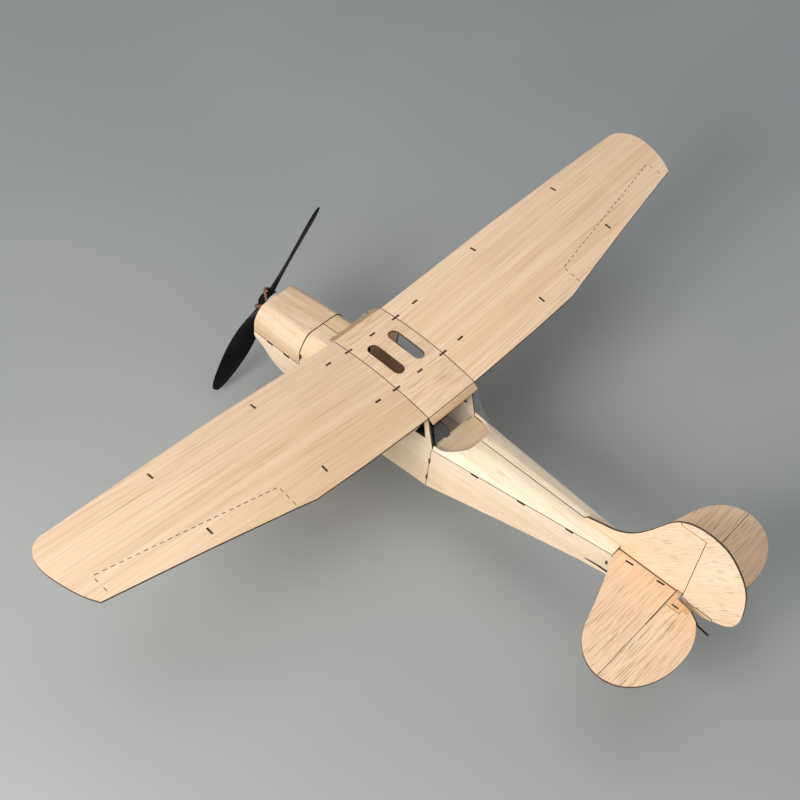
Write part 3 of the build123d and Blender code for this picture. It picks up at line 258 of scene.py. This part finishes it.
def plastic(name, colour, roughness=0.45, grit=0.15, scale=2500.0, coat=0.0):
    """Moulded plastic, metal wire or rubber with a fine uneven surface."""
    g = Graph(name)
    fine = g.noise((scale, scale, scale), detail=3)
    wide = g.noise((scale / 12, scale / 12, scale / 12), detail=2)
    tint = g.ramp(wide, 0.3, 0.7)
    deeper = tuple(channel * 0.75 for channel in colour[:3]) + (1.0,)
    g.links.new(g.blend(tint, deeper, colour), g.shader.inputs["Base Color"])
    g.links.new(g.ramp(fine, 0.3, 0.7, roughness - 0.08, roughness + 0.1), g.shader.inputs["Roughness"])
    g.shader.inputs["Coat Weight"].default_value = coat
    g.bump(fine, grit, 0.00008)
    return g


# stage: a plain pale floor
FLOOR_HALF = 6.0
floor_mesh = bpy.data.meshes.new("floor")
floor_mesh.from_pydata(
    [(x * FLOOR_HALF, y * FLOOR_HALF, 0) for x, y in ((-1, -1), (1, -1), (1, 1), (-1, 1))], [], [(0, 1, 2, 3)]
)
floor = bpy.data.objects.new("floor", floor_mesh)
bpy.context.scene.collection.objects.link(floor)
floor_graph = Graph("floor")
floor_tone = floor_graph.noise((4, 4, 4), detail=2)
floor_mix = floor_graph.ramp(floor_tone, 0.3, 0.7)
floor_colour = floor_graph.blend(floor_mix, srgb(160, 163, 162), srgb(168, 170, 168))
floor_graph.links.new(floor_colour, floor_graph.shader.inputs["Base Color"])
floor_graph.shader.inputs["Roughness"].default_value = 0.75
floor_mesh.materials.append(floor_graph.material)

# soft key light low on the port side, a wide one overhead, a weak fill from aft, and the world's dim light
AIM = Vector((0, 0, 0.05))


def area_light(name, place, size, power, tint=(1, 1, 1)):
    data = bpy.data.lights.new(name, "AREA")
    data.shape = "DISK"
    data.size = size
    data.energy = power
    data.color = tint
    light = bpy.data.objects.new(name, data)
    light.location = place
    light.rotation_euler = (AIM - Vector(place)).to_track_quat("-Z", "Y").to_euler()
    bpy.context.scene.collection.objects.link(light)


area_light("key", (0.62, 0.02, 0.41), 0.32, 4.3, (1.0, 0.99, 0.975))
area_light("overhead", (-0.1, -0.2, 1.6), 1.3, 5.0, (0.99, 0.99, 1.0))
area_light("fill_aft", (0.7, 1.2, 0.6), 0.9, 3.0, (0.98, 0.99, 1.0))
world = bpy.data.worlds.new("studio")
world.use_nodes = True
world.node_tree.nodes["Background"].inputs["Color"].default_value = (0.93, 0.95, 1.0, 1.0)
world.node_tree.nodes["Background"].inputs["Strength"].default_value = 0.36
bpy.context.scene.world = world

# ---------------------------------------------------------------- datum and materials of the CAD nodes

WING_LOW, WING_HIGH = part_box("wing_center_sheet")
STAB_LOW, STAB_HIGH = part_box("stabilizer")
FIN_LOW, FIN_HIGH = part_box("fin")
COWL_LOW, COWL_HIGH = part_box("cowl_sheet")
SCREEN_DECK_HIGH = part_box("windscreen_deck_left")[1]
DECK_LOW, DECK_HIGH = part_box("turtledeck_left")
STRIP_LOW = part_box("center_trailing_strip")[0]
SEAM_X = WING_HIGH.x
HINGE_Y = STAB_HIGH.y
LINE = 0.28 * MM
WING_TONES = {"light": (245, 214, 180), "dark": (231, 196, 158)}
SIDE_TONES = {"light": (247, 225, 198), "dark": (236, 209, 177)}
TAIL_TONES = {"light": (243, 211, 176), "dark": (231, 195, 157)}
FIN_TONES = {"light": (246, 218, 187), "dark": (238, 206, 171)}
TAIL_LEAN = math.radians(42)

# the seam between a side and the turtledeck rises towards the tail
seam_rise = (STAB_HIGH.z + 0.5 * MM - DECK_LOW.z) / (DECK_HIGH.y - DECK_LOW.y)
seam_axes = (0, -seam_rise, 1)
seam_line = (seam_axes, DECK_LOW.z - seam_rise * DECK_LOW.y, LINE, (AXES["Y"], DECK_LOW.y, DECK_HIGH.y))
cowl_seam = (AXES["Z"], COWL_LOW.z, LINE, (AXES["Y"], COWL_LOW.y, COWL_HIGH.y))
cowl_rear = (AXES["Y"], COWL_HIGH.y, LINE, None)
side_break = (AXES["Y"], DECK_LOW.y - 0.5 * MM, 0.22 * MM, (AXES["Z"], 0.0, DECK_LOW.z))
deck_lines = [(AXES["X"], 0.0, LINE, None)]
wing_seam = [(AXES["X"], SEAM_X, LINE, None), (AXES["X"], -SEAM_X, LINE, None)]
HINGE_DARK = 22 * MM  # the hinge is burnt through this far out from the middle
hinge_line = (AXES["Y"], HINGE_Y + 0.14 * MM, 0.34 * MM, (AXES["X"], -HINGE_DARK, HINGE_DARK))
fin_base = (AXES["Z"], FIN_LOW.z, 0.45 * MM, None)
root_run = (AXES["Y"], STAB_LOW.y, FIN_HIGH.y)
fin_root = [(AXES["X"], 0.7 * MM, 0.25 * MM, root_run), (AXES["X"], -0.7 * MM, 0.25 * MM, root_run)]
former_lines = deck_lines + [cowl_rear, (AXES["Y"], SCREEN_DECK_HIGH.y, 0.4 * MM, None)]

looks = {
    "wing_center_sheet": wood("wing_center", "X", "Z", streaks=0.9, seed=3.0, lines=wing_seam, **WING_TONES),
    "center_leading_strip": wood(
        "leading_strip", "X", None, streaks=0.9, seed=4.0, light=(204, 175, 138), dark=(172, 142, 106)
    ),
    "center_trailing_strip": wood(
        "trailing_strip", "X", None, streaks=0.7, seed=5.0, light=(222, 188, 150), dark=(192, 156, 116),
        lines=[(AXES["Y"], STRIP_LOW.y, 0.3 * MM, None)],
    ),
    "cowl_sheet": wood(
        "cowl", "Y", "Y", streaks=0.3, seed=6.0, streak_length=3.0, lines=[cowl_seam, cowl_rear],
        light=(245, 215, 182), dark=(221, 187, 150),
    ),
    "stabilizer": wood(
        "stabilizer", "X", "Z", streaks=0.75, seed=8.0, lines=[hinge_line] + fin_root, streak_length=0.8,
        stains=[(AXES["X"], 0.0, 2.0 * MM)], **TAIL_TONES
    ),
    "elevator_joiner": wood(
        "elevator_joiner", "X", "Z", streaks=0.6, seed=9.0, light=(236, 200, 158), dark=(216, 176, 130)
    ),
    "fin": wood(
        "fin", "Y", "X", streaks=0.6, seed=10.0, lean=TAIL_LEAN, streak_length=0.5, lines=[fin_base],
        stains=[(AXES["Z"], FIN_LOW.z, 2.6 * MM)], **FIN_TONES
    ),
    "rudder": wood(
        "rudder", "Y", "X", streaks=0.6, seed=11.0, lean=TAIL_LEAN, streak_length=0.5, **FIN_TONES
    ),
    "rear_shelf": wood(
        "rear_shelf", "X", "Z", streaks=0.4, seed=12.0, light=(226, 198, 158), dark=(204, 174, 134)
    ),
    # the cabin floor's dark brown tones are painted shade from inside the closed cabin, not a darker wood
    "cabin_floor": wood(
        "cabin_floor", "Y", "Z", streaks=0.4, seed=13.0, light=(176, 142, 106), dark=(140, 108, 76)
    ),
    "belly_front": wood("belly_front", "Y", None, streaks=0.4, seed=14.0, **SIDE_TONES),
    "battery_hatch": wood("battery_hatch", "Y", "Z", streaks=0.4, seed=14.0, **SIDE_TONES),
    "belly_tail": wood("belly_tail", "Y", None, streaks=0.4, seed=15.0, **SIDE_TONES),
    "tail_post": wood("tail_post", "Z", None, seed=16.0),
    "gear_block": wood("gear_block", "X", None, seed=17.0),
    "wing_joiner_front": wood("joiner_front", "X", "Y", seed=18.0),
    "wing_joiner_rear": wood("joiner_rear", "X", "Y", seed=19.0),
    "elevator_horn": wood("elevator_horn", "Z", "X", seed=20.0),
    "rudder_horn": wood("rudder_horn", "X", "Z", seed=21.0),
}
for side, seed in (("left", 1.0), ("right", 7.0)):
    twins = {
        "wing_panel": wood(
            f"wing_{side}", "X", "Z", streaks=0.4, seed=seed, lines=wing_seam, streak_length=2.4, **WING_TONES
        ),
        "fuselage_side": wood(
            f"side_{side}", "Y", "X", streaks=0.3, seed=seed + 1, lines=[seam_line, cowl_seam, side_break],
            **SIDE_TONES,
        ),
        "windscreen_deck": wood(
            f"screen_deck_{side}", "Y", None, streaks=0.15, seed=seed + 2, lines=former_lines,
            light=(243, 216, 180), dark=(226, 194, 152),
        ),
        "turtledeck": wood(
            f"turtledeck_{side}", "Y", None, streaks=0.35, seed=seed + 3, lines=deck_lines + [seam_line],
            light=(252, 234, 207), dark=(240, 216, 182),
        ),
        "elevator": wood(
            f"elevator_{side}", "X", "Z", streaks=0.9, seed=seed + 4, lines=[hinge_line], streak_length=0.8,
            **TAIL_TONES,
        ),
        "wing_ribs": wood(f"ribs_{side}", "Y", "X", seed=seed + 5),
        "wheel": plastic(f"foam_{side}", srgb(38, 38, 40), 0.8, 0.5, 1500.0).material,
    }
    looks.update({f"{stem}_{side}": material for stem, material in twins.items()})
for number, former in enumerate(
    ("nose_former", "cowl_former", "instrument_panel", "cabin_rear_former", "tail_former", "tail_end_former")
):
    looks[former] = wood(former, "X", "Y", seed=22.0 + number)

nylon = plastic("black_nylon", srgb(9, 9, 10), 0.45, 0.25)
nylon.shader.inputs["Specular IOR Level"].default_value = 0.2
black = nylon.material
white = plastic("white_acetal", srgb(232, 232, 226), 0.4, 0.1).material
wire = plastic("steel_wire", srgb(60, 60, 62), 0.35, 0.1)
wire.shader.inputs["Metallic"].default_value = 0.9
can = plastic("motor_can", srgb(170, 170, 172), 0.3, 0.1)
can.shader.inputs["Metallic"].default_value = 1.0
brass = plastic("brass", srgb(206, 168, 92), 0.3, 0.1)
brass.shader.inputs["Metallic"].default_value = 1.0
pouch = plastic("battery_pouch", srgb(84, 82, 82), 0.35, 0.3, 900.0)
band_rubber = plastic("band_rubber", srgb(146, 98, 66), 0.6, 0.3).material
film = plastic("clear_film", srgb(235, 240, 244), 0.12, 0.02, 300.0)
film.shader.inputs["Alpha"].default_value = 0.04
looks.update(
    {
        "windscreen": film.material,
        "rear_window": film.material,
        "propeller": black,
        "prop_hub": black,
        "gearbox_frame": black,
        "elevator_servo": black,
        "rudder_servo": black,
        "wheel_retainers": black,
        "spur_gear": white,
        "elevator_servo_arm": white,
        "rudder_servo_arm": white,
        "battery": pouch.material,
        "motor_pinion": brass.material,
        "motor": can.material,
        "prop_shaft": can.material,
        "motor_shaft": can.material,
        "elevator_pushrod": wire.material,
        "rudder_pushrod": wire.material,
        "gear_wire": wire.material,
        "tail_skid": wire.material,
        "rubber_band": band_rubber,
    }
)
for node_name, material in looks.items():
    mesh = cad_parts[node_name].data
    mesh.materials.clear()
    mesh.materials.append(material)

# ---------------------------------------------------------------- small wooden pieces


def wooden_piece(name, corners, faces, body, material):
    """Links a closed mesh of balsa that rides on a body."""
    mesh = bpy.data.meshes.new(name)
    mesh.from_pydata(corners, [], faces)
    mesh.validate()
    mesh.materials.append(material)
    piece = bpy.data.objects.new(name, mesh)
    bpy.context.scene.collection.objects.link(piece)
    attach(piece, body)


# stepped plate glued on the rudder's port face, over its horn: aft of the fin and up from the stabilizer, mm
DOUBLER = [
    (0.7, -3.8), (0.7, -0.1), (2.8, -0.1), (3.0, -0.8), (6.6, -0.8), (6.8, -0.3), (14.3, -0.4), (14.6, -1.4),
    (9.8, -2.7), (5.3, -3.6),
]
DOUBLER_X = (0.5 * MM, 0.9 * MM)
doubler_corners = [
    (x, FIN_HIGH.y + y * MM, STAB_LOW.z + z * MM) for x in DOUBLER_X for y, z in DOUBLER
]
count = len(DOUBLER)
doubler_faces = [tuple(range(count)), tuple(range(2 * count - 1, count - 1, -1))]
doubler_faces += [(i, (i + 1) % count, (i + 1) % count + count, i + count) for i in range(count)]
wooden_piece(
    "rudder_doubler", doubler_corners, doubler_faces, "rudder",
    wood("doubler", "Y", "X", streaks=0.5, seed=31.0, light=(240, 208, 170), dark=(224, 188, 146)),
)

# torn fibres along the front edge of the leading strip
strip_low, strip_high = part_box("center_leading_strip")
FIBRES = 58
FIBRE_SLOPE = math.radians(6)
FIBRE_ROOT = Vector((0, 0.05, 0.75)) * MM  # into the strip's front face, and up from its underside
rng = random.Random(5)
fibre_corners, fibre_faces = [], []
for i in range(FIBRES):
    x = strip_low.x + (strip_high.x - strip_low.x) * (i + 0.2 + 0.6 * rng.random()) / FIBRES
    y, z = strip_low.y + FIBRE_ROOT.y, strip_low.z + FIBRE_ROOT.z
    half, thick = rng.uniform(0.12, 0.26) * MM, rng.uniform(0.1, 0.3) * MM
    reach = (0.3 + 1.7 * rng.random() ** 2) * MM
    slope = FIBRE_SLOPE + rng.uniform(-0.25, 0.35)
    first = len(fibre_corners)
    fibre_corners += [(x + a * half, y, z + b * thick) for a, b in ((-1, -1), (1, -1), (1, 1), (-1, 1))]
    fibre_corners.append(
        (x + rng.uniform(-0.3, 0.3) * MM, y - reach * math.cos(slope), z - reach * math.sin(slope))
    )
    fibre_faces.append((first, first + 3, first + 2, first + 1))
    fibre_faces += [(first + a, first + (a + 1) % 4, first + 4) for a in range(4)]
wooden_piece("leading_edge_fibres", fibre_corners, fibre_faces, "airframe", looks["center_leading_strip"])

# ---------------------------------------------------------------- rubber band of three strands

shaft_low, shaft_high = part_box("prop_shaft")
SHAFT_TIP = Vector(((shaft_low.x + shaft_high.x) / 2, shaft_low.y, (shaft_low.z + shaft_high.z) / 2))
PROP_LEAN = math.radians(41)
ACROSS = Vector((math.cos(PROP_LEAN), 0, math.sin(PROP_LEAN)))
ALONG = Vector((-math.sin(PROP_LEAN), 0, math.cos(PROP_LEAN)))
# a quarter of the loop, from a post to the front of a blade root: across, along and aft of the shaft's tip
QUARTER = [(5.9, 0.0, 6.2), (5.5, 2.4, 4.0), (4.6, 3.9, 1.7), (2.4, 4.5, -0.2)]
FRONT = (0.0, 4.6, -1.0)
STRANDS = [(0.0, 0.0, 0.42), (0.6, 0.75, 0.38), (-0.6, 0.35, 0.38)]  # outwards, aft, radius in mm


def strand_points(outwards, aft):
    """Closed loop of points for one strand of the band, shifted outwards and aft."""
    up = QUARTER + [FRONT]
    half = up + [(-across, along, back) for across, along, back in reversed(QUARTER[1:])]
    loop = half + [(-across, -along, back) for across, along, back in half]
    for across, along, back in loop:
        reach = 1 + outwards / math.hypot(across, along)
        yield SHAFT_TIP + (ACROSS * across * reach + ALONG * along * reach + Vector((0, back + aft, 0))) * MM


band_curve = bpy.data.curves.new("band_curve", "CURVE")
band_curve.dimensions = "3D"
band_curve.bevel_depth = MM
band_curve.bevel_resolution = 3
band_curve.resolution_u = 5
for outwards, aft, radius in STRANDS:
    points = list(strand_points(outwards, aft))
    spline = band_curve.splines.new("BEZIER")
    spline.use_cyclic_u = True
    spline.bezier_points.add(len(points) - 1)
    for knot, point in zip(spline.bezier_points, points):
        knot.co = point
        knot.handle_left_type = knot.handle_right_type = "AUTO"
        knot.radius = radius
band_form = bpy.data.objects.new("band_form", band_curve)
band = bpy.data.objects.new("rubber_band_strands", bpy.data.meshes.new_from_object(band_form))
bpy.data.objects.remove(band_form)
band.data.name = "rubber_band_strands"
band.data.materials.clear()
band.data.materials.append(band_rubber)
bpy.context.scene.collection.objects.link(band)
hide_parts("rubber_band")
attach(band, "propeller_assembly")
